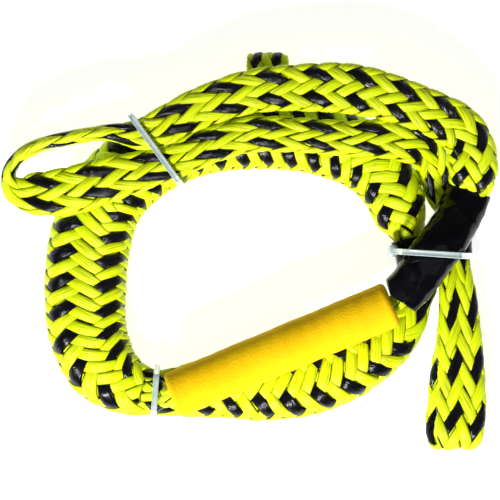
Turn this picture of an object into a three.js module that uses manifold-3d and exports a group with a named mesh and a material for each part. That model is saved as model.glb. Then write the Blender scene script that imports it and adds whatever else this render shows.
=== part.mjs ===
// Bungee tow rope with a float grip, coiled and tied. Millimetres, +Z up, lying on the plane z = 0.
// Every rope is a loft along a route of hand-chosen points. A route's row is
// [x, y, z of the centre, width across the route, height].
import * as THREE from "three";
import { mergeVertices } from "three/addons/utils/BufferGeometryUtils.js";
import Module from "manifold-3d";

// Driving dimensions
const GAP = 0.35; // clearance between pieces that touch
const SIDES = 12; // sides of a rope's section
const ROUNDNESS = 0.8; // below 1 the section is squarer than an ellipse
const FLOOR_TO_CENTRE = new THREE.Vector3(-0.16, -0.635, 0); // middle of the footprint, moved to the origin

const BRAID_WALL = 1.8; // thickness of the bunched sheath
const CORE_DIAMETER = 5.6; // one rubber cord
const CORE_PITCH = 6.8; // between the middles of neighbouring cords
const CORE_SIDES = 8;
const CORE_STEPS = 60;
const CORE_TAIL = 5; // how far the rubber cords reach past the sheath's ends
const SEIZING = { inner: 7.4, outer: 8.5, length: 4 };
const WHIPPING = { inner: 5.9, outer: 7, length: 9 };

const COVER_WALL = 1.2; // shrunk tube and tape
const LEG_HEIGHT = 6.4; // one leg of an eye where it is bound

const GRIP_LENGTH = 128;
const GRIP_DIAMETER = 25.4;
const GRIP_EDGE = 3; // rounding of the foam's end edges
const LINER_OUTER = 15;
const LINER_INNER = 12.4;
const GRIP_ROPE = 9.6;
const GRIP_LEFT = new THREE.Vector3(-42.1, -78.3, 33);
const GRIP_RIGHT = new THREE.Vector3(76.3, -28.8, 39.2);

const TIE_WIDTH = 3.2;
const TIE_THICKNESS = 1.2;
const TIE_HEAD = [5.2, 4.4, 6]; // along the strap, off the bundle, across the strap

const UP = new THREE.Vector3(0, 0, 1);

// Routes
// The ring's third number is the height of its underside, so that it lies flat on the floor.
const RING = [
  [89.6, -6, 3.5, 17.4, 18.4],
  [88.2, 0, 3.5, 17.4, 18.4],
  [86.4, 6.6, 3.5, 17.4, 18.4],
  [84.2, 13, 1.6, 24, 23],
  [81.3, 20, 0, 30, 26],
  [76.7, 32.4, 0, 33, 27],
  [64.8, 47.5, 0, 37, 28],
  [45.9, 57.8, 0, 40, 28],
  [21.6, 63.2, 0, 41, 28],
  [0, 64.3, 0, 42, 28],
  [-24.3, 61.6, 2, 42, 26],
  [-45.9, 54, 6.2, 42, 21.8],
  [-64.8, 42.1, 2, 43, 26],
  [-79.4, 25.4, 0, 44, 28],
  [-86.9, 2.7, 0, 45, 28],
  [-89.1, -21.6, 0, 45, 28],
  [-87.5, -45.9, 0, 43, 28],
  [-79.4, -63.7, 0.4, 40, 26],
  [-65.9, -73.8, 2, 32, 20],
  [-49.7, -77.2, 5.6, 25, 12.8],
  [-32.4, -76, 2.4, 30, 16],
  [-13.5, -73.6, 0.6, 36, 20.4],
  [6.5, -72.9, 0, 40, 24],
  [29.7, -70.2, 0, 40, 25.5],
  [48.6, -64.3, 0, 38, 28],
  [64.8, -55.1, 0, 35, 28],
  [77.2, -45.9, 0.4, 30, 26],
  [85, -38, 2, 23, 21.5],
  [89.2, -29.6, 3.5, 17.4, 18.4],
  [90.2, -24, 3.5, 17.4, 18.4],
  [90.6, -18.5, 3.5, 17.4, 18.4],
];

const LONG_EYE = [
  [111.4, 16.3, 27.4, 17, 5.6],
  [114.1, 21.5, 23.3, 20.6, LEG_HEIGHT],
  [117.1, 28.8, 19, 20.6, LEG_HEIGHT],
  [119, 34.1, 17.2, 20.6, LEG_HEIGHT],
  [119.8, 39.4, 19.2, 24, 9],
  [120.6, 44.5, 21.4, 26.8, 13],
  [120.4, 50, 22, 26.8, 13],
  [118, 58, 22.8, 26.8, 12],
  [113, 65, 25, 26.6, 10.4],
  [104, 70.5, 28, 26, 9],
  [92, 75.5, 31, 26, 9],
  [76, 81.5, 33.3, 26, 9],
  [54, 86.5, 33.3, 28, 9],
  [27, 87.2, 33.3, 26, 9],
  [0, 84.9, 33.3, 24, 9],
  [-27, 76, 33.3, 23, 9],
  [-55.6, 62.6, 33.4, 19.5, 9],
  [-66, 62.4, 33.2, 13.5, 12.4],
  [-77, 63, 33.2, 9, 17.4],
  [-96, 60.4, 31, 7.8, 20],
  [-114, 56, 27.6, 7.8, 21],
  [-126, 48.6, 24.8, 7.8, 21],
  [-130.2, 39, 23.5, 8.4, 18],
  [-125.5, 32.5, 24, 17, 12],
  [-115, 30.5, 27.5, 24, 9],
  [-97, 32, 32.2, 26, 9],
  [-74, 38.5, 33.4, 25, 9],
  [-45.4, 46.2, 33.4, 20, 9],
  [-27, 54.2, 33.3, 20.5, 9],
  [0, 61.8, 33.3, 19.8, 9],
  [27, 61.7, 33.3, 19.4, 9],
  [54, 59.8, 33.3, 19.4, 9],
  [70, 60, 32.2, 22, 9],
  [82, 58.4, 30.6, 22.4, 9],
  [93, 55, 26, 22, 9],
  [98.8, 47.5, 17, 17.5, 9],
  [102.4, 37.5, 11, 15, 8.4],
  [105.8, 28.2, 9.8, 15, 7],
  [109.2, 20.4, 14.6, 15, 6],
  [110, 14.8, 20.4, 12.5, 5],
];

const EYE_COVER = [
  [118.6, 33, 13.6, 26, 17.4],
  [116.6, 27.4, 15.8, 26, 17.4],
  [113.2, 19.8, 20.4, 26, 17.4],
  [107, 9, 29.4, 26, 17.4],
  [100, 0, 35, 26, 18],
  [94, -8, 37.4, 26, 18.4],
  [88.4, -16, 38.8, 25, 19],
  [84.4, -20.8, 39.2, 24.4, 19],
  [80.5, -24.6, 39.3, 24, 19],
];

// Where the grip rope leaves the grip's left end, and the flattened tail under the low tie.
const GRIP_ROPE_TAIL = [
  [-45, -79.5, 30.6, 11, 7],
  [-46.6, -79.4, 26, 14, 5],
  [-48.8, -78.9, 22.2, 18, 4.8],
  [-51.6, -78.1, 21.6, 18.6, 4.8],
  [-55.4, -77, 22.6, 17.4, 4.6],
  [-58.6, -76.2, 23.6, 16.4, 4.4],
];
const GRIP_ROPE_HEAD = [
  [104.6, 6, 31.4],
  [98, -2.8, 36],
  [91, -12.4, 38.3],
  [85, -20.4, 39.2],
  [79.4, -27.3, 39.3],
];

// The short eye swings at its throat, so its two upper ends are round in plan about the pivot.
const SHORT_EYE = [
  [111.3, -5.6, 13.9, 5.4, 5],
  [111.3, -6.6, 13.9, 9.8, 6.4],
  [111.4, -8.8, 14, 14.6, 7.2],
  [111.5, -11.8, 14.2, 17.8, 8],
  [111.6, -14.5, 14.5, 18.6, 8.4],
  [112.6, -25, 15.4, 21.8, 9],
  [113.1, -38, 15.2, 23.4, 9],
  [113.6, -52, 15, 26.2, 9],
  [114.4, -70, 14.8, 27, 9],
  [114.3, -86.4, 14.6, 28, 9],
  [113, -99, 14.4, 28.4, 9],
  [112, -104.2, 12.4, 29, 7.6],
  [111.2, -105.4, 9.7, 29, 7],
  [110.2, -104.2, 7.2, 29, 7.6],
  [108.8, -99, 4.9, 28, 9],
  [108.8, -84, 4.9, 26.4, 9],
  [110.2, -66, 4.9, 25.4, 9],
  [112.2, -50, 4.9, 23.6, 9],
  [112.8, -38, 4.9, 22, 9],
  [112.4, -25, 4.9, 20.4, 9],
  [111.6, -14.5, 5.1, 18.6, 8.6],
  [111.5, -11.8, 5.4, 17.8, 8],
  [111.4, -8.8, 5.7, 14.6, 7.2],
  [111.3, -6.6, 6, 9.8, 6.4],
  [111.3, -5.6, 6.1, 5.4, 5],
];
const SHORT_EYE_TAIL_UPPER = [
  [110.8, 3.4, 13.5, 14.6, 6.2],
  [111, -1, 13.5, 15.6, 6.2],
  [111.1, -5, 13.7, 16.6, 6.6],
];
const SHORT_EYE_TAIL_LOWER = [
  [110.8, 3.4, 6.8, 14.6, 6.2],
  [111, -1, 6.8, 15.6, 6.2],
  [111.1, -5, 6.5, 16.6, 6.6],
];

const RING_COVER = [
  [86.4, 6.6, 12.7, 21.4, 22],
  [88.2, 0, 12.7, 21.4, 22],
  [89.6, -6, 12.7, 21.4, 22],
  [90.4, -12, 12.7, 21.4, 22],
  [90.6, -18.5, 12.7, 21.4, 22],
  [90.2, -24, 12.7, 21.4, 22],
  [89.4, -28.6, 12.7, 21.4, 22],
];
const BRANCH = { left: 92, right: 120.8, south: -1.4, north: 6.4, low: 2, high: 18.4, corner: 3 };

const wasm = await Module();
wasm.setup();

// Smooth curve through the rows' centres, and the width and height that go with it.
function curvesOf(rows) {
  const at = rows.map(([x, y, z]) => new THREE.Vector3(x, y, z));
  const sizes = rows.map(([, , , width, height]) => new THREE.Vector3(width, height, 0));
  return {
    route: new THREE.CatmullRomCurve3(at, false, "centripetal"),
    size: new THREE.CatmullRomCurve3(sizes, false, "centripetal"),
  };
}

// The centre, the directions along, across and upward, and the size, `perRow` times between two rows.
// `across` fixes the width's direction, for a rope that turns over in an upright plane.
function stationsOf(rows, perRow, across = null) {
  const { route, size } = curvesOf(rows);
  const count = (rows.length - 1) * perRow;
  return Array.from({ length: count + 1 }, (_, i) => {
    const t = i / count;
    const tangent = route.getTangent(t);
    const side = across
      ? across.clone().addScaledVector(tangent, -across.dot(tangent)).normalize()
      : tangent.clone().cross(UP).normalize();
    const { x: width, y: height } = size.getPoint(t);
    const up = side.clone().cross(tangent);
    return { centre: route.getPoint(t), tangent, side, up, width, height };
  });
}

// The ring's stations: level, and no lower than the floor.
function ringStations(perRow) {
  return stationsOf(RING, perRow).map((station) => {
    const { centre, tangent, height } = station;
    const underside = Math.max(0, centre.z);
    const along = tangent.setZ(0).normalize();
    const side = along.clone().cross(UP);
    return { ...station, centre: centre.setZ(underside + height / 2), tangent: along, side, up: UP };
  });
}

// One ring of section points, flat at its lowest and highest edges and at its sides.
function sectionPoints(station, shrink) {
  const step = (2 * Math.PI) / SIDES;
  const reach = Math.cos(step / 2) ** ROUNDNESS;
  const bend = (value) => (Math.sign(value) * Math.abs(value) ** ROUNDNESS) / reach;
  return Array.from({ length: SIDES }, (_, k) => {
    const angle = (k + 0.5) * step;
    return station.centre
      .clone()
      .addScaledVector(station.side, (station.width / 2 - shrink) * bend(Math.cos(angle)))
      .addScaledVector(station.up, (station.height / 2 - shrink) * bend(Math.sin(angle)));
  });
}

// Two triangles for each quad between two rings of points, turned outward by `outward`.
function joinRings(indices, first, second, outward) {
  for (let k = 0; k < SIDES; k += 1) {
    const next = (k + 1) % SIDES;
    const quad = [first + k, first + next, second + next, second + k];
    if (!outward) quad.reverse();
    indices.push(quad[0], quad[1], quad[2], quad[0], quad[2], quad[3]);
  }
}

// A closed solid along the rows. With a wall it is a hollow tube, open at both ends.
function loft(rows, { perRow = 2, wall = 0, across = null } = {}) {
  return skin(stationsOf(rows, perRow, across), wall);
}

function skin(stations, wall) {
  const points = stations.flatMap((station) => sectionPoints(station, 0));
  const last = (stations.length - 1) * SIDES;
  const indices = [];
  for (let ring = 0; ring < last; ring += SIDES) joinRings(indices, ring, ring + SIDES, true);
  if (wall > 0) {
    const inner = points.length;
    points.push(...stations.flatMap((station) => sectionPoints(station, wall)));
    for (let ring = 0; ring < last; ring += SIDES) {
      joinRings(indices, inner + ring, inner + ring + SIDES, false);
    }
    joinRings(indices, inner, 0, true);
    joinRings(indices, last, inner + last, true);
  } else {
    for (let k = 1; k < SIDES - 1; k += 1) {
      indices.push(0, k + 1, k);
      indices.push(last, last + k, last + k + 1);
    }
  }
  const geometry = new THREE.BufferGeometry().setFromPoints(points);
  geometry.setIndex(indices);
  return outwardFacing(geometry);
}

// Turns the faces round where the volume comes out negative.
function outwardFacing(geometry) {
  const solid = solidOf(geometry);
  return solid.volume() < 0 ? reversed(geometry) : geometry;
}

function reversed(geometry) {
  const index = Array.from(geometry.index.array);
  for (let i = 0; i < index.length; i += 3) [index[i + 1], index[i + 2]] = [index[i + 2], index[i + 1]];
  return geometry.clone().setIndex(index);
}

function solidOf(geometry) {
  const bare = geometry.clone();
  bare.deleteAttribute("normal");
  bare.deleteAttribute("uv");
  const merged = mergeVertices(bare, 1e-4);
  return new wasm.Manifold(
    new wasm.Mesh({
      numProp: 3,
      vertProperties: new Float32Array(merged.attributes.position.array),
      triVerts: new Uint32Array(merged.index.array),
    }),
  );
}

function geometryOf(solid) {
  const { numProp, vertProperties, triVerts } = solid.getMesh();
  const count = vertProperties.length / numProp;
  const position = new Float32Array(count * 3);
  for (let i = 0; i < count; i += 1) {
    position.set(vertProperties.subarray(i * numProp, i * numProp + 3), i * 3);
  }
  const geometry = new THREE.BufferGeometry();
  geometry.setAttribute("position", new THREE.BufferAttribute(position, 3));
  geometry.setIndex(new THREE.BufferAttribute(triVerts, 1));
  return geometry;
}

function material(color, roughness, metalness = 0) {
  return new THREE.MeshStandardMaterial({ color, roughness, metalness });
}

function part(name, geometry, look) {
  const mesh = new THREE.Mesh(geometry, look);
  mesh.name = name;
  return mesh;
}

const braid = () => material(0xd6ea10, 0.45);
const rubber = () => material(0xb8a070, 0.7);
const shrink = () => material(0x0c0c0e, 0.3);
const nylon = () => material(0xe4e6e2, 0.35);
const thread = () => material(0xd8d4c8, 0.8);

// The bunched hollow braid, bent into a ring with its ends inside the black cover.
function bungeeSheath() {
  return part("bungee_sheath", skin(ringStations(2), BRAID_WALL), braid());
}

// Where one of the three rubber cords runs in a station. They lie side by side where there is room,
// and otherwise the middle one rides up on the other two. `row` is -1, 0 or 1.
function coreCentre({ centre, side, up, width }, row) {
  const room = width / 2 - BRAID_WALL - CORE_DIAMETER / 2 - 2 * GAP;
  const across = Math.min(CORE_PITCH, room);
  const ride = Math.sqrt(CORE_PITCH ** 2 - across ** 2);
  const lift = row === 0 ? (ride * 2) / 3 : -ride / 3;
  return centre.clone().addScaledVector(side, row * across).addScaledVector(up, lift);
}

// The place `distance` past an end of the ring.
function beyond(station, distance) {
  return { ...station, centre: station.centre.clone().addScaledVector(station.tangent, distance) };
}

function elasticCore(name, row) {
  const stations = ringStations(2);
  const first = beyond(stations[0], -CORE_TAIL);
  const final = beyond(stations[stations.length - 1], CORE_TAIL);
  const line = [first, ...stations, final].map((station) => coreCentre(station, row));
  const turns = Array.from({ length: CORE_SIDES }, (_, k) => ((k + 0.5) * 2 * Math.PI) / CORE_SIDES);
  const radius = CORE_DIAMETER / 2;
  const circle = new THREE.Shape(
    turns.map((turn) => new THREE.Vector2(radius * Math.cos(turn), radius * Math.sin(turn))),
  );
  const extrudePath = new THREE.CatmullRomCurve3(line, false, "centripetal");
  const geometry = new THREE.ExtrudeGeometry(circle, { steps: CORE_STEPS, extrudePath });
  return part(name, outwardFacing(mergedOf(geometry)), rubber());
}

function mergedOf(geometry) {
  geometry.deleteAttribute("normal");
  geometry.deleteAttribute("uv");
  return mergeVertices(geometry, 1e-4);
}

// A short round binding of thread, centred on `at` and facing along `direction`.
function binding(name, at, direction, { inner, outer, length }) {
  const corners = [
    [inner, -length / 2],
    [outer, -length / 2],
    [outer, length / 2],
    [inner, length / 2],
    [inner, -length / 2],
  ].map(([x, y]) => new THREE.Vector2(x, y));
  const mesh = part(name, new THREE.LatheGeometry(corners, 16), thread());
  mesh.quaternion.setFromUnitVectors(new THREE.Vector3(0, 1, 0), direction);
  mesh.position.copy(at);
  return mesh;
}

// The bindings round the rubber cords' ends, just outside the sheath's ends.
function coreSeizings() {
  const stations = ringStations(1);
  const first = beyond(stations[0], -CORE_TAIL / 2);
  const final = beyond(stations[stations.length - 1], CORE_TAIL / 2);
  return [
    binding("core_seizing_north", first.centre, first.tangent, SEIZING),
    binding("core_seizing_south", final.centre, final.tangent, SEIZING),
  ];
}

// The whipping on the grip rope's end, inside the long eye's cover.
function spliceWhipping() {
  const [from, to] = GRIP_ROPE_HEAD.slice(0, 2).map((row) => new THREE.Vector3(...row));
  const middle = from.clone().add(to).multiplyScalar(0.5);
  return binding("splice_whipping", middle, to.sub(from).normalize(), WHIPPING);
}

function longEye() {
  return part("long_eye_rope", loft(LONG_EYE), braid());
}

// The swinging eye, and its two tails, which stay in the cover.
function shortEye() {
  const across = new THREE.Vector3(1, 0, 0);
  return [
    part("short_eye_rope", loft(SHORT_EYE, { across }), braid()),
    part("short_eye_tail_upper", loft(SHORT_EYE_TAIL_UPPER, { across }), braid()),
    part("short_eye_tail_lower", loft(SHORT_EYE_TAIL_LOWER, { across }), braid()),
  ];
}

// The cover is a tube, cut open at the side where the lower leg enters it.
function eyeCover() {
  const tube = solidOf(loft(EYE_COVER, { wall: COVER_WALL }));
  const legs = solidOf(loft(enlarged(LONG_EYE)));
  return part("eye_cover", geometryOf(tube.subtract(legs)), shrink());
}

// The rows of a rope with twice the clearance added all round, for the opening that it passes through.
function enlarged(rows) {
  return rows.map(([x, y, z, width, height]) => [x, y, z, width + 4 * GAP, height + 4 * GAP]);
}

// A box with upright edges rounded, from its lowest to its highest corner.
function roundedBox(left, right, south, north, low, high, corner) {
  const outline = new THREE.Shape();
  outline.moveTo(left, south);
  outline.lineTo(right - corner, south);
  outline.absarc(right - corner, south + corner, corner, -Math.PI / 2, 0);
  outline.absarc(right - corner, north - corner, corner, 0, Math.PI / 2);
  outline.lineTo(left, north);
  const geometry = new THREE.ExtrudeGeometry(outline, {
    depth: high - low,
    bevelEnabled: false,
    curveSegments: 4,
  });
  return geometry.translate(0, 0, low);
}

// The cover of the ring's two ends, with a side mouth for the short eye.
function ringCover() {
  const { left, right, south, north, low, high, corner } = BRANCH;
  const wall = COVER_WALL;
  const ends = (rows, shrunk, reach) => {
    const sized = rows.map(([x, y, z, width, height]) => [x, y, z, width - shrunk, height - shrunk]);
    const first = [...sized[0]];
    const final = [...sized[sized.length - 1]];
    first[1] += reach;
    final[1] -= reach;
    return [first, ...sized.slice(1, -1), final];
  };
  const outer = solidOf(loft(ends(RING_COVER, 0, 0))).add(
    solidOf(roundedBox(left, right, south, north, low, high, corner)),
  );
  const inner = solidOf(loft(ends(RING_COVER, 2 * wall, 3))).add(
    solidOf(
      roundedBox(left, right - wall, south - 3, north - wall, low + wall, high - wall, corner - wall),
    ),
  );
  return part("ring_cover", geometryOf(outer.subtract(inner)), shrink());
}

// Turns a piece made along +Y onto the grip's axis, in its middle.
function alongGrip(mesh) {
  const axis = GRIP_RIGHT.clone().sub(GRIP_LEFT).normalize();
  mesh.quaternion.setFromUnitVectors(new THREE.Vector3(0, 1, 0), axis);
  mesh.position.copy(GRIP_LEFT).add(GRIP_RIGHT).multiplyScalar(0.5);
  return mesh;
}

function gripFoam() {
  const half = GRIP_LENGTH / 2;
  const radius = GRIP_DIAMETER / 2;
  const bore = LINER_OUTER / 2 + GAP;
  const profile = new THREE.Path();
  profile.moveTo(bore, -half);
  profile.lineTo(radius - GRIP_EDGE, -half);
  profile.absarc(radius - GRIP_EDGE, GRIP_EDGE - half, GRIP_EDGE, -Math.PI / 2, 0);
  profile.absarc(radius - GRIP_EDGE, half - GRIP_EDGE, GRIP_EDGE, 0, Math.PI / 2);
  profile.lineTo(bore, half);
  profile.lineTo(bore, -half);
  const points = profile.getPoints(4);
  return alongGrip(part("grip_foam", new THREE.LatheGeometry(points, 24), material(0xf6c400, 0.85)));
}

function gripLiner() {
  const half = GRIP_LENGTH / 2 - 1;
  const corners = [
    [LINER_INNER / 2, -half],
    [LINER_OUTER / 2, -half],
    [LINER_OUTER / 2, half],
    [LINER_INNER / 2, half],
    [LINER_INNER / 2, -half],
  ].map(([x, y]) => new THREE.Vector2(x, y));
  return alongGrip(part("grip_liner", new THREE.LatheGeometry(corners, 24), material(0xe8e8e0, 0.5)));
}

// The grip rope runs from the cover, straight through the liner, and down onto the ring.
function gripRope() {
  const inside = [0, 0.04, 0.5, 0.96, 1].map((share) => {
    const { x, y, z } = GRIP_RIGHT.clone().lerp(GRIP_LEFT, share);
    return [x, y, z, GRIP_ROPE, GRIP_ROPE];
  });
  const head = GRIP_ROPE_HEAD.map((centre) => [...centre, GRIP_ROPE, GRIP_ROPE]);
  return part("grip_rope", loft([...head, ...inside, ...GRIP_ROPE_TAIL]), braid());
}

// The folded tail: a flat strip of braid that doubles back over itself.
function tailFold() {
  const [south, north, low, high, thick, width, middle] = [86.6, 108, 4, 19, 6.4, 23.5, 9.6];
  const turn = (high - low) / 2;
  const outline = new THREE.Shape();
  outline.moveTo(south, low);
  outline.lineTo(north - turn, low);
  outline.absarc(north - turn, low + turn, turn, -Math.PI / 2, Math.PI / 2);
  outline.lineTo(south, high);
  outline.lineTo(south, high - thick);
  outline.lineTo(north - turn, high - thick);
  outline.absarc(north - turn, low + turn, turn - thick, Math.PI / 2, -Math.PI / 2, true);
  outline.lineTo(south, low + thick);
  const geometry = new THREE.ExtrudeGeometry(outline, {
    depth: width,
    bevelEnabled: false,
    curveSegments: 6,
  });
  geometry.rotateX(Math.PI / 2).rotateZ(Math.PI / 2).translate(middle - width / 2, 0, 0);
  return part("tail_fold", geometry, braid());
}

// The outline moved outward by `distance`; its points run anticlockwise.
function grown(points, distance) {
  return points.map((point, i) => {
    const before = points[(i + points.length - 1) % points.length];
    const after = points[(i + 1) % points.length];
    const one = new THREE.Vector2(point.y - before.y, before.x - point.x).normalize();
    const two = new THREE.Vector2(after.y - point.y, point.x - after.x).normalize();
    const middle = one.clone().add(two).normalize();
    return point.clone().addScaledVector(middle, distance / middle.dot(one));
  });
}

// A cable tie: `outline` is the bundle's hull in the upright plane from `from` towards `to`, as
// [distance along, height] running anticlockwise. The head sits at `head`, [distance, height],
// turned by `turn`.
function cableTie(name, from, to, outline, head, turn) {
  const hull = outline.map(([along, height]) => new THREE.Vector2(along, height));
  const inner = grown(hull, GAP);
  const shape = new THREE.Shape(grown(inner, TIE_THICKNESS));
  shape.holes.push(new THREE.Path(inner));
  const strap = new THREE.ExtrudeGeometry(shape, { depth: TIE_WIDTH, bevelEnabled: false });
  strap.translate(0, 0, -TIE_WIDTH / 2);
  const box = new THREE.BoxGeometry(TIE_HEAD[0], TIE_HEAD[1], TIE_HEAD[2]);
  box.rotateZ(turn).translate(head[0], head[1], 0);
  const mesh = part(name, geometryOf(solidOf(strap).add(solidOf(box))), nylon());
  mesh.rotation.set(Math.PI / 2, 0, 0);
  const plane = new THREE.Group();
  plane.position.set(from[0], from[1], 0);
  plane.rotation.z = Math.atan2(to[1] - from[1], to[0] - from[0]);
  plane.add(mesh);
  return plane;
}

const TOP_TIE = {
  from: [-62.6, 70.2],
  to: [-36.7, 34.6],
  outline: [
    [-0.6, 30],
    [0.4, 11],
    [4.5, 6.8],
    [12, 4.8],
    [32, 4.8],
    [39, 6.8],
    [45.2, 11],
    [45.6, 18],
    [44, 29],
    [41, 36],
    [39, 38.3],
    [0, 38.3],
    [-2.4, 36.4],
  ],
  head: [21, 2.35],
  turn: 0,
};
const LOW_TIE = {
  from: [-50.2, -64.4],
  to: [-52, -90],
  outline: [
    [-1.1, 13],
    [0, 7.8],
    [3, 4.8],
    [22, 4.8],
    [25.2, 7.8],
    [26.3, 13],
    [25.2, 17],
    [24, 23],
    [22, 26],
    [4, 26],
    [2.4, 23],
    [0, 17],
  ],
  head: [12.5, 2.4],
  turn: 0,
};
const RIGHT_TIE = {
  from: [76.4, -0.6],
  to: [121.6, -3.6],
  outline: [
    [-0.2, 14],
    [0.4, 6],
    [4.6, 1.65],
    [41, 1.65],
    [44, 3],
    [44.8, 6],
    [44.8, 21],
    [38.4, 44],
    [35, 49],
    [10, 49],
    [5, 46],
    [0.4, 22],
  ],
  head: [0.2, 30],
  turn: 1.4,
};

function allParts() {
  const whole = new THREE.Group();
  whole.add(
    bungeeSheath(),
    elasticCore("elastic_core_inner", -1),
    elasticCore("elastic_core_middle", 0),
    elasticCore("elastic_core_outer", 1),
    ...coreSeizings(),
    longEye(),
    eyeCover(),
    ringCover(),
    ...shortEye(),
    gripRope(),
    spliceWhipping(),
    gripLiner(),
    gripFoam(),
    tailFold(),
    cableTie("cable_tie_top", TOP_TIE.from, TOP_TIE.to, TOP_TIE.outline, TOP_TIE.head, TOP_TIE.turn),
    cableTie("cable_tie_low", LOW_TIE.from, LOW_TIE.to, LOW_TIE.outline, LOW_TIE.head, LOW_TIE.turn),
    cableTie(
      "cable_tie_right",
      RIGHT_TIE.from,
      RIGHT_TIE.to,
      RIGHT_TIE.outline,
      RIGHT_TIE.head,
      RIGHT_TIE.turn,
    ),
  );
  whole.position.copy(FLOOR_TO_CENTRE).negate();
  return whole;
}

const root = new THREE.Group();
root.add(allParts());

export default root;
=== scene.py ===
"""Bungee tow rope with a foam grip, coiled and tied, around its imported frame. Metres, +Z up."""
import math

import bpy
import numpy as np
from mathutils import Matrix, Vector, noise


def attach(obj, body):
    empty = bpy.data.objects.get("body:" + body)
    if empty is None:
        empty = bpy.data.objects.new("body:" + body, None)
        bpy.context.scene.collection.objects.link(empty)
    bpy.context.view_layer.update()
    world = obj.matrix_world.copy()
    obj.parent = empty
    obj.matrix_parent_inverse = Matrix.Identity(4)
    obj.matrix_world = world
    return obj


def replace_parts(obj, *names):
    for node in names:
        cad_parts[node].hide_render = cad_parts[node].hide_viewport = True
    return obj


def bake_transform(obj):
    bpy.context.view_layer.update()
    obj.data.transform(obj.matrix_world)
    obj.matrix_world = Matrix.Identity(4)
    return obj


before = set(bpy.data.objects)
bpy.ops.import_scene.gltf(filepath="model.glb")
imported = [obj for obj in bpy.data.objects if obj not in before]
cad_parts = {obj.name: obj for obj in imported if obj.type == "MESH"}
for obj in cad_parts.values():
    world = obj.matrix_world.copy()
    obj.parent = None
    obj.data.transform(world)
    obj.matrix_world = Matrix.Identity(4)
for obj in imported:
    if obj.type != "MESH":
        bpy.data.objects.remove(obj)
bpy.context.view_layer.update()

MM = 0.001
SHIFT = np.array([0.16, 0.635, 0.0])  # where the tables' origin is in the frame, in millimetres
UP = np.array([0.0, 0.0, 1.0])
EAST = np.array([1.0, 0.0, 0.0])

CAMERA_HEIGHT = 2.27
FLOOR_HALF = 6000.0  # half of the floor's side, in millimetres
FLOOR_TOP = -0.2

# The braid: 16 carriers, 8 each way round, over two and under two. Millimetres.
CARRIERS = 8
ROUNDNESS = 0.8  # below 1 a rope's section is squarer than an ellipse
PER_ROW = 40  # steps of the route's curve between two rows
THINNEST = 0.4  # least half width and half height of a skin below a rope's outside
WAVE = 0.9  # how far a carrier rises and sinks
QUICKNESS = 1.6  # above 0 a carrier changes between over and under faster than a plain wave
CROWN = 1.1  # height of a carrier's rounded top over its edges
FLATNESS = 2.4  # above 2 that top is flatter than an ellipse
BELLY = 0.5  # depth of a carrier's underside below its edges
PAINTED_SHADE_DEPTH = 0.35  # depth of the dark lining below a carrier that is neither over nor under; the lining is painted shade, a dark sheet that stands for the shade inside the braid
# One turn of a carrier is longer where the rope is stretched thin: girth, and length of a turn.
GIRTHS = [54.0, 62.0, 74.0, 87.0, 116.0]
TURNS = [128.0, 116.0, 90.0, 72.0, 57.0]
# A carrier's section: places across its top and under it, as shares of its half width.
TOP = np.array([-1.0, -0.82, -0.45, 0.0, 0.45, 0.82, 1.0])
UNDER = np.array([0.6, -0.6])

# The covers. Millimetres.
COVER_OUTSIDE = 0.5  # from the rows' outline down to the outside, before it creases
COVER_INSIDE = 1.9
LIP = 0.35  # how far the rolled edge of a mouth stands up
LIP_LENGTH = 3
DRAWN_OUT = 16  # length of tube that stretches with its last mouth

# The grip. Millimetres.
FOAM_LENGTH = 128.0
FOAM_RADIUS = 12.7
FOAM_BORE = 7.85
FOAM_EDGE = 3.0  # rounding of the end edges
LINER_LENGTH = 126.0
LINER_RADIUS = 7.5
LINER_BORE = 6.2

# Routes, as in part.mjs: x, y, z of the centre, width, height. Millimetres.
# The ring's third number is the height of its underside. The short eye's rows run on through its
# two tails, and its fold is narrower. Where the long eye bulges over its cover's mouth, and where
# it goes down into the cover, a few rows and that mouth differ by up to 4 mm from part.mjs, in
# which the tail is a folded plate and the cover's branch is a box.
RING = [
    [89.6, -6, 3.5, 17.4, 18.4], [88.2, 0, 3.5, 17.4, 18.4], [86.4, 6.6, 3.5, 17.4, 18.4],
    [84.2, 13, 1.6, 24, 23], [81.3, 20, 0, 30, 26], [76.7, 32.4, 0, 33, 27],
    [64.8, 47.5, 0, 37, 28], [45.9, 57.8, 0, 40, 28], [21.6, 63.2, 0, 41, 28],
    [0, 64.3, 0, 42, 28], [-24.3, 61.6, 2, 42, 26], [-45.9, 54, 6.2, 42, 21.8],
    [-64.8, 42.1, 2, 43, 26], [-79.4, 25.4, 0, 44, 28], [-86.9, 2.7, 0, 45, 28],
    [-89.1, -21.6, 0, 45, 28], [-87.5, -45.9, 0, 43, 28], [-79.4, -63.7, 0.4, 40, 26],
    [-65.9, -73.8, 2, 32, 20], [-49.7, -77.2, 5.6, 25, 12.8], [-32.4, -76, 2.4, 30, 16],
    [-13.5, -73.6, 0.6, 36, 20.4], [6.5, -72.9, 0, 40, 24], [29.7, -70.2, 0, 40, 25.5],
    [48.6, -64.3, 0, 38, 28], [64.8, -55.1, 0, 35, 28], [77.2, -45.9, 0.4, 30, 26],
    [85, -38, 2, 23, 21.5], [89.2, -29.6, 3.5, 17.4, 18.4], [90.2, -24, 3.5, 17.4, 18.4],
    [90.6, -18.5, 3.5, 17.4, 18.4],
]
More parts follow.
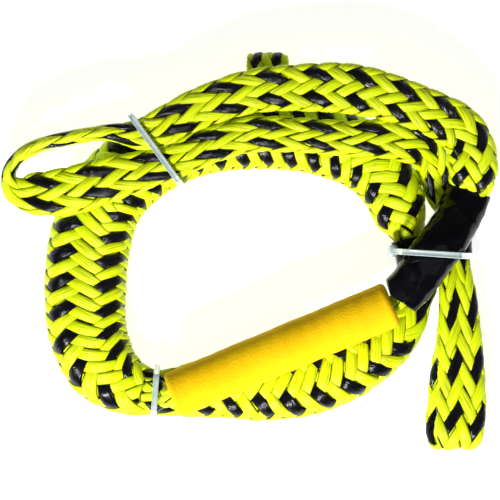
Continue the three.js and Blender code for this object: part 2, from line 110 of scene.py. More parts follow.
LONG_EYE = [
    [111.4, 16.3, 27.4, 17, 5.6], [114.1, 21.5, 23.3, 20.6, 6.4], [117, 28.4, 19, 20.6, 6.4],
    [118.6, 32.2, 18.4, 22.4, 9], [119.6, 36.6, 19.6, 25.6, 12], [120.5, 43.5, 21.4, 26.8, 13.4],
    [120.4, 50, 22, 26.8, 13], [118, 58, 22.8, 26.8, 12], [113, 65, 25, 26.6, 10.4],
    [104, 70.5, 28, 26, 9], [92, 75.5, 31, 26, 9], [76, 81.5, 33.3, 26, 9],
    [54, 86.5, 33.3, 28, 9], [27, 87.2, 33.3, 26, 9], [0, 84.9, 33.3, 24, 9],
    [-27, 76, 33.3, 23, 9], [-55.6, 62.6, 33.4, 19.5, 9], [-66, 62.4, 33.2, 13.5, 12.4],
    [-77, 63, 33.2, 9, 17.4], [-96, 60.4, 31, 7.8, 20], [-114, 56, 27.6, 7.8, 21],
    [-126, 48.6, 24.8, 7.8, 21], [-130.2, 39, 23.5, 8.4, 18], [-125.5, 32.5, 24, 17, 12],
    [-115, 30.5, 27.5, 24, 9], [-97, 32, 32.2, 26, 9], [-74, 38.5, 33.4, 25, 9],
    [-45.4, 46.2, 33.4, 20, 9], [-27, 54.2, 33.3, 20.5, 9], [0, 61.8, 33.3, 19.8, 9],
    [27, 61.7, 33.3, 19.4, 9], [54, 59.8, 33.3, 19.4, 9],
    [70, 60, 32.2, 22, 9], [82, 58.4, 30.6, 22.4, 9],
    [93, 55, 26, 22, 9], [98.2, 47.5, 17, 20, 9], [101.4, 37.5, 11, 18.6, 8.4],
    [105, 28.2, 9.8, 17.4, 7], [109.2, 20.4, 14.6, 15, 6], [110, 14.8, 20.4, 12.5, 5],
]
SHORT_EYE = [
    [110.8, 3.4, 13.5, 14.6, 6.2], [111, -1, 13.5, 15.6, 6.2], [111.1, -5, 13.7, 16.6, 6.6],
    [111.4, -9, 14, 17.2, 7.2], [111.6, -14.5, 14.5, 18.6, 8.4], [112.6, -25, 15.4, 21.8, 9],
    [113.1, -38, 15.2, 23.4, 9], [113.6, -52, 15, 26.2, 9], [114.4, -70, 14.8, 27, 9],
    [114.3, -86.4, 14.6, 28, 9], [113, -99, 14.4, 28.4, 9], [112, -104.2, 12.4, 25, 7.6],
    [111.2, -105.4, 9.7, 21, 7], [110.2, -104.2, 7.2, 25, 7.6], [108.8, -99, 4.9, 28, 9],
    [108.8, -84, 4.9, 26.4, 9], [110.2, -66, 4.9, 25.4, 9], [112.2, -50, 4.9, 23.6, 9],
    [112.8, -38, 4.9, 22, 9], [112.4, -25, 4.9, 20.4, 9], [111.6, -14.5, 5.1, 18.6, 8.6],
    [111.4, -9, 5.7, 17.2, 7.2], [111.1, -5, 6.5, 16.6, 6.6], [111, -1, 6.8, 15.6, 6.2],
    [110.8, 3.4, 6.8, 14.6, 6.2],
]
GRIP_ROPE = [
    [104.6, 6, 31.4, 9.6, 9.6], [98, -2.8, 36, 9.6, 9.6], [91, -12.4, 38.3, 9.6, 9.6],
    [85, -20.4, 39.2, 9.6, 9.6], [79.4, -27.3, 39.3, 9.6, 9.6], [76.3, -28.8, 39.2, 9.6, 9.6],
    [71.6, -30.8, 38.95, 9.6, 9.6], [17.1, -53.55, 36.1, 9.6, 9.6],
    [-37.4, -76.3, 33.25, 9.6, 9.6], [-42.1, -78.3, 33, 9.6, 9.6], [-45, -79.5, 30.6, 11, 7],
    [-46.6, -79.4, 26, 14, 5], [-48.8, -78.9, 22.2, 18, 4.8], [-51.6, -78.1, 21.6, 18.6, 4.8],
    [-55.4, -77, 22.6, 17.4, 4.6], [-58.6, -76.2, 23.6, 16.4, 4.4],
]
TAIL = [
    [9.6, 84, 7.2, 23.5, 6.4], [9.6, 92, 7.2, 23.5, 6.4], [9.6, 100, 7.4, 23.5, 6.2],
    [9.6, 103.4, 8.8, 23.2, 6], [9.6, 104.8, 11.5, 23, 5.8], [9.6, 103.4, 14.2, 23.2, 6],
    [9.6, 100, 15.6, 23.5, 6.2], [9.6, 92, 15.8, 23.5, 6.4], [9.6, 84, 15.8, 23.5, 6.4],
]
EYE_COVER = [
    [118.2, 31.6, 14, 26, 17.4], [116.6, 27.4, 15.8, 26, 17.4], [113.2, 19.8, 20.4, 26, 17.4],
    [107, 9, 29.4, 26, 17.4], [100, 0, 35, 26, 18], [94, -8, 37.4, 26, 18.4],
    [88.4, -16, 38.8, 25, 19], [84.4, -20.8, 39.2, 24.4, 19], [80.5, -24.6, 39.3, 24, 19],
]
RING_COVER = [
    [86.4, 6.6, 12.7, 21.4, 22], [88.2, 0, 12.7, 21.4, 22], [89.6, -6, 12.7, 21.4, 22],
    [90.4, -12, 12.7, 21.4, 22], [90.6, -18.5, 12.7, 21.4, 22], [90.2, -24, 12.7, 21.4, 22],
    [89.4, -28.6, 12.7, 21.4, 22],
]
BRANCH_COVER = [
    [106.4, 6.2, 10.2, 27, 14.6], [106.4, 4.4, 10.2, 28.6, 16.2], [106.4, 0, 10.2, 28.8, 16.4],
    [106.4, -1.6, 10.2, 28.6, 16.2],
]
GRIP_LEFT = np.array([-42.1, -78.3, 33])
GRIP_RIGHT = np.array([76.3, -28.8, 39.2])


# ---------------------------------------------------------------- materials

def tree_of(name):
    """A new material, its node tree and its main shader."""
    mat = bpy.data.materials.new(name)
    mat.use_nodes = True
    return mat, mat.node_tree, mat.node_tree.nodes["Principled BSDF"]


def node(tree, kind, links=(), **values):
    """A node with its values set, fed by links of (input, output socket)."""
    made = tree.nodes.new(kind)
    for key, value in values.items():
        if key.startswith("in_"):
            made.inputs[key[3:].replace("_", " ")].default_value = value
        else:
            setattr(made, key, value)
    for target, source in links:
        tree.links.new(source, made.inputs[target])
    return made


def ramp(tree, source, stops):
    """A colour ramp of (place, colour) stops."""
    made = node(tree, "ShaderNodeValToRGB", [("Fac", source)])
    elements = made.color_ramp.elements
    while len(elements) < len(stops):
        elements.new(0.5)
    for element, (place, colour) in zip(elements, stops):
        element.position = place
        element.color = (*colour, 1)
    return made.outputs["Color"]


def add_bump(tree, shader, height, strength, distance):
    """Feeds the height into the shader's normal."""
    bump = node(tree, "ShaderNodeBump", [("Height", height)], in_Strength=strength,
                in_Distance=distance)
    tree.links.new(bump.outputs["Normal"], shader.inputs["Normal"])


def fibre_material(name, light, dark, edge, roughness, gloss, bump):
    """Flat bundles of shiny fibre, with streaks that run along each carrier, and painted shade:
    each carrier darkens towards the `edge` colour near its sides, where it dives between its
    neighbours.
    """
    mat, tree, shader = tree_of(name)
    weave = node(tree, "ShaderNodeAttribute", attribute_name="weave").outputs["Vector"]
    stretch = node(tree, "ShaderNodeVectorMath", [(0, weave)], operation="MULTIPLY")
    stretch.inputs[1].default_value = (0.07, 3.6, 40.0)
    streaks = node(tree, "ShaderNodeTexNoise", [("Vector", stretch.outputs["Vector"])],
                   in_Scale=1.0, in_Detail=3.0, in_Roughness=0.6)
    broad = node(tree, "ShaderNodeVectorMath", [(0, weave)], operation="MULTIPLY")
    broad.inputs[1].default_value = (0.05, 0.8, 40.0)
    patches = node(tree, "ShaderNodeTexNoise", [("Vector", broad.outputs["Vector"])],
                   in_Scale=1.0, in_Detail=2.0)
    parts = node(tree, "ShaderNodeSeparateXYZ", [(0, weave)])
    across = node(tree, "ShaderNodeMath", [(0, parts.outputs["Y"])], operation="ABSOLUTE")
    # Painted shade: near each carrier's sides its colour is mixed towards the edge colour.
    painted_edge_shade = node(tree, "ShaderNodeMapRange", [("Value", across.outputs[0])],
               interpolation_type="SMOOTHSTEP")
    painted_edge_shade.inputs["From Min"].default_value = 0.74
    painted_edge_shade.inputs["From Max"].default_value = 1.0
    painted_edge_shade.inputs["To Max"].default_value = 0.8
    streaky = ramp(tree, streaks.outputs["Fac"], [(0.32, dark), (0.5, light)])
    shaded = node(tree, "ShaderNodeMix", data_type="RGBA", blend_type="MULTIPLY")
    shaded.inputs["Factor"].default_value = 0.35
    tree.links.new(streaky, shaded.inputs[6])
    tree.links.new(ramp(tree, patches.outputs["Fac"], [(0.3, (0.55,) * 3), (0.6, (1,) * 3)]),
                   shaded.inputs[7])
    edge_shaded_colour = node(tree, "ShaderNodeMix", data_type="RGBA")
    tree.links.new(painted_edge_shade.outputs["Result"], edge_shaded_colour.inputs["Factor"])
    tree.links.new(shaded.outputs[2], edge_shaded_colour.inputs[6])
    edge_shaded_colour.inputs[7].default_value = (*edge, 1)
    tree.links.new(edge_shaded_colour.outputs[2], shader.inputs["Base Color"])
    tree.links.new(ramp(tree, streaks.outputs["Fac"], [(0.3, (roughness + 0.15,) * 3),
                                                       (0.7, (roughness,) * 3)]),
                   shader.inputs["Roughness"])
    shader.inputs["Specular IOR Level"].default_value = gloss
    add_bump(tree, shader, streaks.outputs["Fac"], bump, 0.0006)
    return mat


def speckled(name, light, dark, scale, roughness, bump, distance, detail=3.0):
    """A solid whose colour and height vary in small spots."""
    mat, tree, shader = tree_of(name)
    place = node(tree, "ShaderNodeTexCoord").outputs["Object"]
    spots = node(tree, "ShaderNodeTexNoise", [("Vector", place)], in_Scale=scale, in_Detail=detail)
    tree.links.new(ramp(tree, spots.outputs["Fac"], [(0.35, dark), (0.65, light)]),
                   shader.inputs["Base Color"])
    shader.inputs["Roughness"].default_value = roughness
    add_bump(tree, shader, spots.outputs["Fac"], bump, distance)
    return mat, shader


# The third colour of each fibre is painted shade at the sides of its carriers.
YELLOW = fibre_material("yellow_fibre", (0.80, 0.98, 0.0), (0.48, 0.54, 0.0),
                        (0.24, 0.26, 0.0), 0.38, 0.3, 1.0)
BLACK = fibre_material("black_fibre", (0.003, 0.003, 0.006), (0.001, 0.001, 0.002),
                       (0.0005, 0.0005, 0.0005), 0.09, 0.25, 0.9)
# Painted shade: a dark olive sheet under the carriers, standing for the shade inside the braid.
PAINTED_INSIDE_SHADE = speckled("painted_shade_inside", (0.05, 0.055, 0.004), (0.012, 0.012, 0.002), 700, 0.9, 0.3,
                  0.0004)[0]


def foam_material():
    """Closed-cell foam: small cells, dull, a little darker in worn patches."""
    mat, tree, shader = tree_of("yellow_foam")
    place = node(tree, "ShaderNodeTexCoord").outputs["Object"]
    cells = node(tree, "ShaderNodeTexVoronoi", [("Vector", place)], in_Scale=900.0)
    wear = node(tree, "ShaderNodeTexNoise", [("Vector", place)], in_Scale=38.0, in_Detail=4.0)
    colour = ramp(tree, wear.outputs["Fac"], [(0.3, (0.84, 0.50, 0.0)), (0.6, (0.93, 0.58, 0.0))])
    tree.links.new(colour, shader.inputs["Base Color"])
    shader.inputs["Roughness"].default_value = 0.8
    shader.inputs["Specular IOR Level"].default_value = 0.15
    mixed = node(tree, "ShaderNodeMath", [(0, cells.outputs["Distance"]), (1, wear.outputs["Fac"])],
                 operation="ADD")
    add_bump(tree, shader, mixed.outputs[0], 0.35, 0.0005)
    return mat


def cover_material():
    """Glossy black tube that has shrunk into small creases."""
    mat, shader = speckled("black_cover", (0.004, 0.004, 0.007), (0.001, 0.001, 0.002), 130, 0.13,
                           0.35, 0.0008)
    shader.inputs["Specular IOR Level"].default_value = 0.2
    return mat


def tie_material():
    """Natural nylon: pale, slightly clear, with a soft gloss."""
    mat, shader = speckled("clear_nylon", (0.66, 0.76, 0.78), (0.55, 0.66, 0.68), 420, 0.28, 0.2,
                           0.0002)
    shader.inputs["Transmission Weight"].default_value = 0.35
    shader.inputs["IOR"].default_value = 1.5
    return mat


FOAM = foam_material()
COVER = cover_material()
NYLON = tie_material()
RUBBER = speckled("natural_rubber", (0.62, 0.5, 0.32), (0.5, 0.38, 0.22), 500, 0.7, 0.3, 0.0003)[0]
THREAD = speckled("waxed_thread", (0.82, 0.8, 0.74), (0.6, 0.58, 0.5), 1500, 0.8, 0.6, 0.0004)[0]
LINER = speckled("plain_tube", (0.86, 0.86, 0.82), (0.78, 0.78, 0.74), 300, 0.5, 0.1, 0.0002)[0]


# ---------------------------------------------------------------- ropes

def centripetal(points, count):
    """The same smooth curve through the points as in part.mjs, at `count` even parameter steps."""
    p = np.array(points, float)
    p = np.vstack([2 * p[0] - p[1], p, 2 * p[-1] - p[-2]])
    t = np.linspace(0, len(points) - 1, count)
    i = np.minimum(t.astype(int), len(points) - 2)
    w = (t - i)[:, None]
    a, b, c, d = p[i], p[i + 1], p[i + 2], p[i + 3]
    ab, bc, cd = (np.sqrt(np.linalg.norm(y - x, axis=1, keepdims=True))
                  for x, y in ((a, b), (b, c), (c, d)))
    bc = np.where(bc < 1e-4, 1, bc)
    ab = np.where(ab < 1e-4, bc, ab)
    cd = np.where(cd < 1e-4, bc, cd)
    m1 = ((b - a) / ab - (c - a) / (ab + bc) + (c - b) / bc) * bc
    m2 = ((c - b) / bc - (d - b) / (bc + cd) + (d - c) / cd) * bc
    return b + m1 * w + (3 * (c - b) - 2 * m1 - m2) * w**2 + (2 * (b - c) + m1 + m2) * w**3


def unit(v):
    return v / np.linalg.norm(v, axis=-1, keepdims=True)


def stations(rows, step=0.8, level=False, across=None):
    """Even steps along the route: centre, side and up directions, width, height, distance."""
    rows = np.array(rows, float)
    count = (len(rows) - 1) * PER_ROW + 1
    centre = centripetal(rows[:, :3], count) + SHIFT
    size = centripetal(rows[:, 3:5], count)
    if level:
        centre[:, 2] = np.maximum(0, centre[:, 2]) + size[:, 1] / 2
    run = np.concatenate([[0], np.cumsum(np.linalg.norm(np.diff(centre, axis=0), axis=1))])
    s = np.linspace(0, run[-1], int(run[-1] / step) + 1)
    centre = np.stack([np.interp(s, run, centre[:, k]) for k in range(3)], axis=1)
    width, height = (np.interp(s, run, size[:, k]) for k in range(2))
    ahead = np.gradient(centre, s, axis=0)
    if level:
        ahead[:, 2] = 0
    ahead = unit(ahead)
    if across is None:
        side = unit(np.cross(ahead, UP))
    else:
        side = unit(across - (ahead @ across)[:, None] * ahead)
    return {"s": s, "centre": centre, "side": side, "up": np.cross(side, ahead), "ahead": ahead,
            "width": width, "height": height}


def skin_of(route, inset, turns=192):
    """The rope's surface, `inset` below the outside: its points and normals, which stand at even
    steps round the outside, and the outside's girth."""
    angle = np.linspace(0, 2 * math.pi, 2 * turns + 1)[None, :]
    cos, sin = np.cos(angle), np.sin(angle)
    cos, sin = np.sign(cos) * np.abs(cos) ** ROUNDNESS, np.sign(sin) * np.abs(sin) ** ROUNDNESS
    half_width, half_height = route["width"][:, None] / 2, route["height"][:, None] / 2
    steps = np.hypot(half_width * np.diff(cos), half_height * np.diff(sin))
    run = np.concatenate([np.zeros((len(steps), 1)), np.cumsum(steps, axis=1)], axis=1)
    girth = run[:, -1]
    share = np.arange(turns) / turns
    x = np.stack([np.interp(share * g, r, cos[0]) for g, r in zip(girth, run)])
    y = np.stack([np.interp(share * g, r, sin[0]) for g, r in zip(girth, run)])
    x = x * np.maximum(half_width - inset, THINNEST)
    y = y * np.maximum(half_height - inset, THINNEST)
    dx = np.roll(x, -1, axis=1) - np.roll(x, 1, axis=1)
    dy = np.roll(y, -1, axis=1) - np.roll(y, 1, axis=1)
    long = np.hypot(dx, dy)
    side, up = route["side"][:, None, :], route["up"][:, None, :]
    points = route["centre"][:, None, :] + x[..., None] * side + y[..., None] * up
    normals = (dy / long)[..., None] * side - (dx / long)[..., None] * up
    return points, normals, girth


def sample(grid, row, column):
    """The grid's value between its rows, and between its columns, which wrap round."""
    rows, columns = grid.shape[:2]
    row = np.clip(row, 0, rows - 1.000001)
    column = np.mod(column, 1.0) * columns
    r, c = row.astype(int), column.astype(int)
    fr, fc = (row - r)[..., None], (column - c)[..., None]
    c2 = (c + 1) % columns
    c = c % columns
    return ((grid[r, c] * (1 - fc) + grid[r, c2] * fc) * (1 - fr)
            + (grid[r + 1, c] * (1 - fc) + grid[r + 1, c2] * fc) * fr)


def tube_faces(start, rings, sides):
    """Quads between neighbouring rings of points, and a cap at each end."""
    faces = []
    for r in range(rings - 1):
        low, high = start + r * sides, start + (r + 1) * sides
        for k in range(sides):
            n = (k + 1) % sides
            faces.append((low + k, high + k, high + n, low + n))
    faces.append(tuple(start + k for k in range(sides)))
    faces.append(tuple(start + (rings - 1) * sides + k for k in reversed(range(sides))))
    return faces


def mesh_piece(name, points, faces, materials, indices=None, weave=None):
    """A smooth-shaded object from points in millimetres."""
    mesh = bpy.data.meshes.new(name)
    mesh.from_pydata((np.asarray(points) * MM).tolist(), [], faces)
    for mat in materials:
        mesh.materials.append(mat)
    if indices is not None:
        mesh.polygons.foreach_set("material_index", indices)
    mesh.polygons.foreach_set("use_smooth", [True] * len(mesh.polygons))
    if weave is not None:
        attribute = mesh.attributes.new("weave", "FLOAT_VECTOR", "POINT")
        attribute.data.foreach_set("vector", np.asarray(weave, np.float32).ravel())
    mesh.update()
    piece = bpy.data.objects.new(name, mesh)
    bpy.context.collection.objects.link(piece)
    return piece


def braid(name, route, phase, carriers=CARRIERS, step=2.0, scale=1.0, bunched=1.0):
    """A hollow braid round the route: its carriers, and a dark lining that closes the gaps, which
    is painted shade for the inside of the braid.
    Each carrier goes over two of the others and under two. `phase` is where round the rope the
    first one starts, `step` is the distance between its sections, and `scale` is the carriers'
    size. `bunched` shortens a turn where the braid is pushed together, at each station."""
    wave, crown, belly = WAVE * scale, CROWN * scale, BELLY * scale
    points, normals, girth = skin_of(route, wave + crown)
    s = route["s"]
    spacing = s[1] - s[0]
    pitch = np.interp(girth / scale, GIRTHS, TURNS) * scale * bunched
    turned = np.concatenate([[0], np.cumsum(2 * np.diff(s) / (pitch[1:] + pitch[:-1]))])
    slant = np.arctan2(girth, pitch)
    run = np.concatenate([[0], np.cumsum(np.diff(s) / np.cos((slant[1:] + slant[:-1]) / 2))])
    along = np.linspace(0, run[-1], int(run[-1] / step) + 1)
    at = np.interp(along, run, s)
    angle = np.interp(at, s, slant)[:, None]
    around = np.interp(at, s, girth)[:, None]
    crossing = 2 * carriers * np.interp(at, s, turned)[:, None]
    rate = 2 * carriers / np.interp(at, s, pitch)[:, None]
    places = np.concatenate([TOP, UNDER])[None, :]
    on_top = np.arange(len(places[0])) < len(TOP)
    lift = np.where(on_top, crown * np.sqrt(1 - np.abs(places) ** FLATNESS), -belly)
    half = around * np.cos(angle) / carriers / 2
    vertices, faces, indices, weave = [], [], [], []
    sides = places.shape[1]
    for way in (1, -1):
        for i in range(carriers):
            # Each carrier wanders a little to its sides, and is fuller at some places.
            drift = (0.07 * np.sin(0.83 * crossing + 2.4 * i + way)
                     + 0.05 * np.sin(0.31 * crossing + 4.1 * i))
            full = 1 + 0.12 * np.sin(0.57 * crossing + 3.3 * i + 2 * way)
            u = (i + drift - way * crossing / 2) / carriers + phase
            centre = 2 * i + 0.5 if way == 1 else 2 * i - 2.5
            rise = np.cos(math.pi / 2 * (crossing - centre))
            offset = places * half * (0.96 + 0.06 * rise)
            there = at[:, None] + way * offset * np.sin(angle)
            u2 = u + offset * np.cos(angle) / around
            other = carriers * (u2 - phase)
            met = i - other + crossing / 2 + rate * (there - at[:, None]) / 2
            if way == -1:
                met = other + crossing / 2 + rate * (there - at[:, None]) / 2 - i
            swell = np.cos(math.pi / 2 * (met - centre))
            swell = np.tanh(QUICKNESS * swell) / math.tanh(QUICKNESS)
            row = there / spacing
            rises = (wave * swell + lift * full)[..., None]
            place = sample(points, row, u2) + sample(normals, row, u2) * rises
            start = len(vertices) * sides * len(at)
            vertices.append(place.reshape(-1, 3))
            strip = tube_faces(start, len(at), sides)
            faces += strip
            indices += [1 if way == 1 and i % 2 == 0 else 0] * len(strip)
            weave.append(np.stack([np.broadcast_to(along[:, None] + 37 * i, swell.shape),
                                   np.broadcast_to(places, swell.shape),
                                   np.full(swell.shape, (i + (way + 1) * carriers) * 0.13)],
                                  axis=-1).reshape(-1, 3))
    vertices = np.concatenate(vertices)
    # The lining of painted shade: a dark tube just under the carriers, seen through their gaps.
    inner = skin_of(route, wave + crown + belly + PAINTED_SHADE_DEPTH * scale, 24)[0][::3]
    strip = tube_faces(len(vertices), len(inner), inner.shape[1])
    faces += strip
    indices += [2] * len(strip)
    vertices = np.concatenate([vertices, inner.reshape(-1, 3)])
    weave.append(np.zeros((inner.shape[0] * inner.shape[1], 3)))
    return mesh_piece(name, vertices, faces, [YELLOW, BLACK, PAINTED_INSIDE_SHADE], indices,
                      np.concatenate(weave))


# ---------------------------------------------------------------- camera, light and floor

scene = bpy.context.scene
camera = bpy.data.objects.new("camera", bpy.data.cameras.new("camera"))
scene.collection.objects.link(camera)
camera.data.lens = 300
camera.location = (SHIFT[0] * MM, SHIFT[1] * MM, CAMERA_HEIGHT)  # above the tables' origin
camera.data.clip_end = 20
scene.camera = camera
scene.view_settings.view_transform = "Standard"


def area_light(name, place, size, energy):
    """A square soft box that faces the object."""
    data = bpy.data.lights.new(name, "AREA")
    data.shape = "SQUARE"
    data.size = size
    data.energy = energy
    lamp = bpy.data.objects.new(name, data)
    lamp.location = place
    lamp.rotation_euler = (-Vector(place)).to_track_quat("-Z", "Y").to_euler()
    scene.collection.objects.link(lamp)


area_light("key", (-0.25, -0.95, 0.95), 0.2, 27.5)
area_light("fill", (0.6, 0.3, 1.2), 0.8, 0.8)
world = bpy.data.worlds.new("studio")
world.use_nodes = True
world.node_tree.nodes["Background"].inputs["Color"].default_value = (1, 1, 1, 1)
world.node_tree.nodes["Background"].inputs["Strength"].default_value = 0.12
scene.world = world

# The floor glows a little, like a light table, so that no shadow darkens it.
floor_material, floor_shader = speckled("pale_floor", (0.93, 0.93, 0.93), (0.91, 0.91, 0.91), 3,
                                        0.9, 0.0, 0.0001)
floor_shader.inputs["Emission Color"].default_value = (1, 1, 1, 1)
floor_shader.inputs["Emission Strength"].default_value = 0.8
floor_corners = np.array([[-1, -1, 0], [1, -1, 0], [1, 1, 0], [-1, 1, 0]]) * FLOOR_HALF
floor = mesh_piece("floor", floor_corners + [0, 0, FLOOR_TOP], [(0, 1, 2, 3)], [floor_material])


# ---------------------------------------------------------------- braided ropes

ring_route = stations(RING, level=True)
ring = braid("ring_braid", ring_route, 0.156)
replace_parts(ring, "bungee_sheath")
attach(ring, "root")

long_route = stations(LONG_EYE)
# It is pushed together near the covers, most of all where it bulges over the first one's mouth.
pushed = np.interp(long_route["s"], [0, 18, 36, 62, 160, 230, 440, 490],
                   [1, 0.7, 0.7, 0.78, 0.8, 1, 1, 0.87])
long_eye = braid("long_eye_braid", long_route, 0.156, bunched=pushed)
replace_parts(long_eye, "long_eye_rope")
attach(long_eye, "root")

short_route = stations(SHORT_EYE, across=EAST)
short_eye = braid("short_eye_braid", short_route, 0.211)
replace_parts(short_eye, "short_eye_rope", "short_eye_tail_upper", "short_eye_tail_lower")
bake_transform(short_eye)

grip_route = stations(GRIP_ROPE, step=0.6)
grip_rope = braid("grip_rope_braid", grip_route, 0.156, carriers=6, scale=0.62)
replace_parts(grip_rope, "grip_rope")
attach(grip_rope, "root")

tail_route = stations(TAIL, step=0.6, across=EAST)
tail = braid("tail_braid", tail_route, 0.156, scale=0.8)
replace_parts(tail, "tail_fold")
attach(tail, "root")


# ---------------------------------------------------------------- black covers

def cover(name, rows, crease, point=0.0, reach=(0, 0, 0), sides=72):
    """A shrunk tube along the rows: creased, with a rolled edge at both mouths, and closed a
    little way inside them, behind the ropes. `point` draws the last mouth's top out into a blunt
    tip. `reach` lengthens that mouth at its left, right of its middle, and at its right, as seen
    along the rows."""
    route = stations(rows, step=0.7)
    s = route["s"]
    points, normals, _ = skin_of(route, COVER_OUTSIDE, sides)
    rings = len(s)
    for r in range(rings):
        for k in range(sides):
            p = points[r, k]
            fold = noise.noise(Vector(p / 8)) + 0.3 * noise.noise(Vector(p / 3.5))
            ridge = 1 - 2 * abs(noise.noise(Vector((p[0] / 9, p[1] / 9, k / sides * 5))))
            near = min(s[r], s[-1] - s[r]) / LIP_LENGTH
            lip = LIP * math.exp(-near * near)
            points[r, k] = p + normals[r, k] * (crease * (0.5 * fold + 0.45 * ridge - 0.2) + lip)
    top = np.clip(normals[-1] @ UP, 0, 1) ** 3
    across = (points[-1] - route["centre"][-1]) @ route["side"][-1] / (route["width"][-1] / 2)
    longer = top * point + np.interp(across, [-1, 0.25, 1], reach)
    for r in range(rings):
        share = max(0.0, 1 - (s[-1] - s[r]) / DRAWN_OUT)
        points[r] += np.outer(longer * share, route["ahead"][-1])
    inner = skin_of(route, COVER_INSIDE, sides)[0]
    ends = [inner[8:9], inner[4:5], inner[0:1], points, inner[-1:], inner[-5:-4], inner[-9:-8]]
    whole = np.concatenate(ends)
    faces = tube_faces(0, len(whole), sides)
    piece = mesh_piece(name, whole.reshape(-1, 3), faces, [COVER])
    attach(piece, "root")
    return piece


eye_cover = cover("eye_cover_tube", EYE_COVER, 0.9, reach=(0, 3.6, -0.6))
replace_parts(eye_cover, "eye_cover")
ring_cover = cover("ring_cover_tube", RING_COVER, 0.6, point=3.5, reach=(-8, -1.5, 0))
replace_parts(ring_cover, "ring_cover")
cover("branch_cover_tube", BRANCH_COVER, 0.5)  # the ring cover's branch, over the short eye's ends


# ---------------------------------------------------------------- grip

def revolved(name, profile, sides, materials):
    """A ring-shaped solid on the grip's axis, from a closed profile of (radius, distance along)."""
    axis = unit(GRIP_RIGHT - GRIP_LEFT)
    middle = (GRIP_LEFT + GRIP_RIGHT) / 2 + SHIFT
    side = unit(np.cross(axis, UP))
    up = np.cross(side, axis)
    points, faces = [], []
    count = len(profile)
    for k in range(sides):
        a = 2 * math.pi * k / sides
        out = side * math.cos(a) + up * math.sin(a)
        points += [middle + axis * y + out * radius for radius, y in profile]
    for k in range(sides):
        low, high = k * count, (k + 1) % sides * count
        for j in range(count):
            n = (j + 1) % count
            faces.append((low + j, low + n, high + n, high + j))
    return mesh_piece(name, points, faces, materials)


def foam_profile():
    """The foam's closed outline: bore, rounded end edges, and a faint waist and dents."""
    half, radius, edge, bore = FOAM_LENGTH / 2, FOAM_RADIUS, FOAM_EDGE, FOAM_BORE
    outline = [(bore, -half + 0.6), (bore + 0.6, -half)]
    for a in np.linspace(-90, 0, 10):
        outline.append((radius - edge + edge * math.cos(math.radians(a)),
                        edge - half + edge * math.sin(math.radians(a))))
    for y in np.linspace(-half + edge + 1, half - edge - 1, 90):
        outline.append((radius - 0.12 + 0.1 * math.sin(y * 0.21) + 0.06 * math.sin(y * 0.73), y))
    for a in np.linspace(0, 90, 10):
        outline.append((radius - edge + edge * math.cos(math.radians(a)),
                        half - edge + edge * math.sin(math.radians(a))))
    outline += [(bore + 0.6, half), (bore, half - 0.6)]
    return outline


def liner_profile():
    """The liner tube's closed outline."""
    half = LINER_LENGTH / 2
    return [(LINER_BORE, -half), (LINER_RADIUS, -half), (LINER_RADIUS, half), (LINER_BORE, half)]


foam = revolved("grip_foam_sleeve", foam_profile(), 96, [FOAM])
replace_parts(foam, "grip_foam")
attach(foam, "grip")
liner = revolved("grip_liner_tube", liner_profile(), 64, [LINER])
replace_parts(liner, "grip_liner")
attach(liner, "grip")


# ---------------------------------------------------------------- cable ties

TIE_STEP = 0.32  # distance between a strap's sections, in millimetres
RIB_PITCH = 1.3
RIB_HEIGHT = 0.10
# A strap's section: across it, and off the bundle. RIBBED numbers the corners that carry its ribs.
STRAP = [(-1.6, 0.5), (-1.6, 1.3), (-1.3, 1.5), (-1.0, 1.5), (-0.85, 1.32), (0.85, 1.32),
         (1.0, 1.5), (1.3, 1.5), (1.6, 1.3), (1.6, 0.5), (1.35, 0.36), (-1.35, 0.36)]
RIBBED = (4, 5)
# A head's sections: height, half length along the strap, half width across it.
HEAD = [(-2.2, 2.1, 2.5), (-1.9, 2.6, 3.0), (1.5, 2.6, 3.0), (2.1, 2.1, 2.5)]
HEAD_CORNER = 0.6

# Each tie lies in the upright plane through two places on the floor. Its outline and its head's
# place are (distance along, height) in that plane. The outline runs anticlockwise.
TOP_TIE = {
    "from": (-62.6, 70.2), "to": (-36.7, 34.6), "head": (21, 2.35), "turn": 0,
    "outline": [(-0.6, 30), (0.4, 11), (4.5, 6.8), (12, 4.8), (32, 4.8), (39, 6.8), (45.2, 11),
                (45.6, 18), (44, 29), (41, 36), (39, 38.3), (0, 38.3), (-2.4, 36.4)],
}
LOW_TIE = {
    "from": (-50.2, -64.4), "to": (-52, -90), "head": (12.5, 2.4), "turn": 0,
    "outline": [(-1.1, 13), (0, 7.8), (3, 4.8), (22, 4.8), (25.2, 7.8), (26.3, 13), (25.2, 17),
                (24, 23), (22, 26), (4, 26), (2.4, 23), (0, 17)],
}
RIGHT_TIE = {
    "from": (76.4, -0.6), "to": (121.6, -3.6), "head": (0.2, 30), "turn": 1.4,
    "outline": [(-0.2, 14), (0.4, 6), (4.6, 1.65), (41, 1.65), (44, 3), (44.8, 6), (44.8, 21),
                (38.4, 44), (35, 49), (10, 49), (5, 46), (0.4, 22)],
}


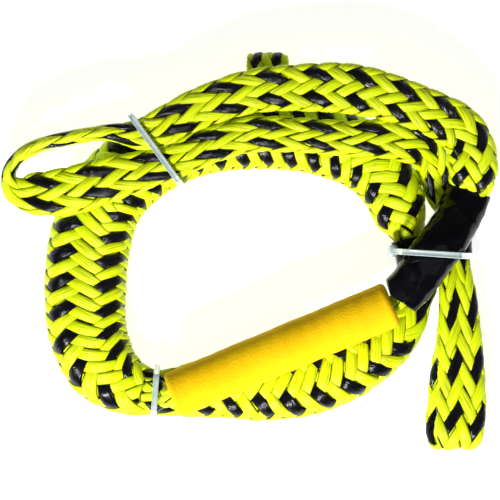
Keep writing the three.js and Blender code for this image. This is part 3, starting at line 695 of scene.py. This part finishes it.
def tie(name, facts):
    """A ribbed strap round the bundle with its square head."""
    start = np.array([*facts["from"], 0.0]) + SHIFT
    along = unit(np.array([*facts["to"], 0.0]) - np.array([*facts["from"], 0.0]))
    across = np.cross(along, UP)
    loop = np.array(facts["outline"], float)
    for _ in range(2):
        after = np.roll(loop, -1, axis=0)
        corners = [0.85 * loop + 0.15 * after, 0.15 * loop + 0.85 * after]
        loop = np.stack(corners, axis=1).reshape(-1, 2)
    closed = np.vstack([loop, loop[:1]])
    run = np.concatenate([[0], np.cumsum(np.linalg.norm(np.diff(closed, axis=0), axis=1))])
    count = int(run[-1] / TIE_STEP)
    s = np.arange(count) / count * run[-1]
    flat = np.stack([np.interp(s, run, closed[:, k]) for k in range(2)], axis=1)
    ahead = unit(np.roll(flat, -2, axis=0) - np.roll(flat, 2, axis=0))
    out = np.stack([ahead[:, 1], -ahead[:, 0]], axis=1)
    ribs = RIB_HEIGHT * (np.mod(s / RIB_PITCH, 1.0) - 0.5)
    points = []
    for i in range(count):
        for k, (x, y) in enumerate(STRAP):
            height = y + (ribs[i] if k in RIBBED else 0)
            place = flat[i] + out[i] * height
            points.append(start + along * place[0] + UP * place[1] + across * x)
    sides = len(STRAP)
    faces = []
    for i in range(count):
        low, high = i * sides, (i + 1) % count * sides
        for k in range(sides):
            n = (k + 1) % sides
            faces.append((low + k, low + n, high + n, high + k))
    cos, sin = math.cos(facts["turn"]), math.sin(facts["turn"])
    base = len(points)
    corner = HEAD_CORNER
    for y, w, d in HEAD:
        for x, z in [(-w + corner, -d), (w - corner, -d), (w, -d + corner), (w, d - corner),
                     (w - corner, d), (-w + corner, d), (-w, d - corner), (-w, -d + corner)]:
            px = facts["head"][0] + x * cos - y * sin
            py = facts["head"][1] + x * sin + y * cos
            points.append(start + along * px + UP * py + across * z)
    faces += [tuple(reversed(f)) for f in tube_faces(base, len(HEAD), 8)]
    piece = mesh_piece(name, points, faces, [NYLON])
    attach(piece, "root")
    return piece


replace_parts(tie("tie_top_strap", TOP_TIE), "cable_tie_top")
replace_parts(tie("tie_low_strap", LOW_TIE), "cable_tie_low")
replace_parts(tie("tie_right_strap", RIGHT_TIE), "cable_tie_right")


# ---------------------------------------------------------------- carried-over CAD nodes

for cad_node, mat in {
    "elastic_core_inner": RUBBER,
    "elastic_core_middle": RUBBER,
    "elastic_core_outer": RUBBER,
    "core_seizing_north": THREAD,
    "core_seizing_south": THREAD,
    "splice_whipping": THREAD,
}.items():
    holder = bpy.data.objects[cad_node]
    for place in holder.material_slots:
        place.material = mat
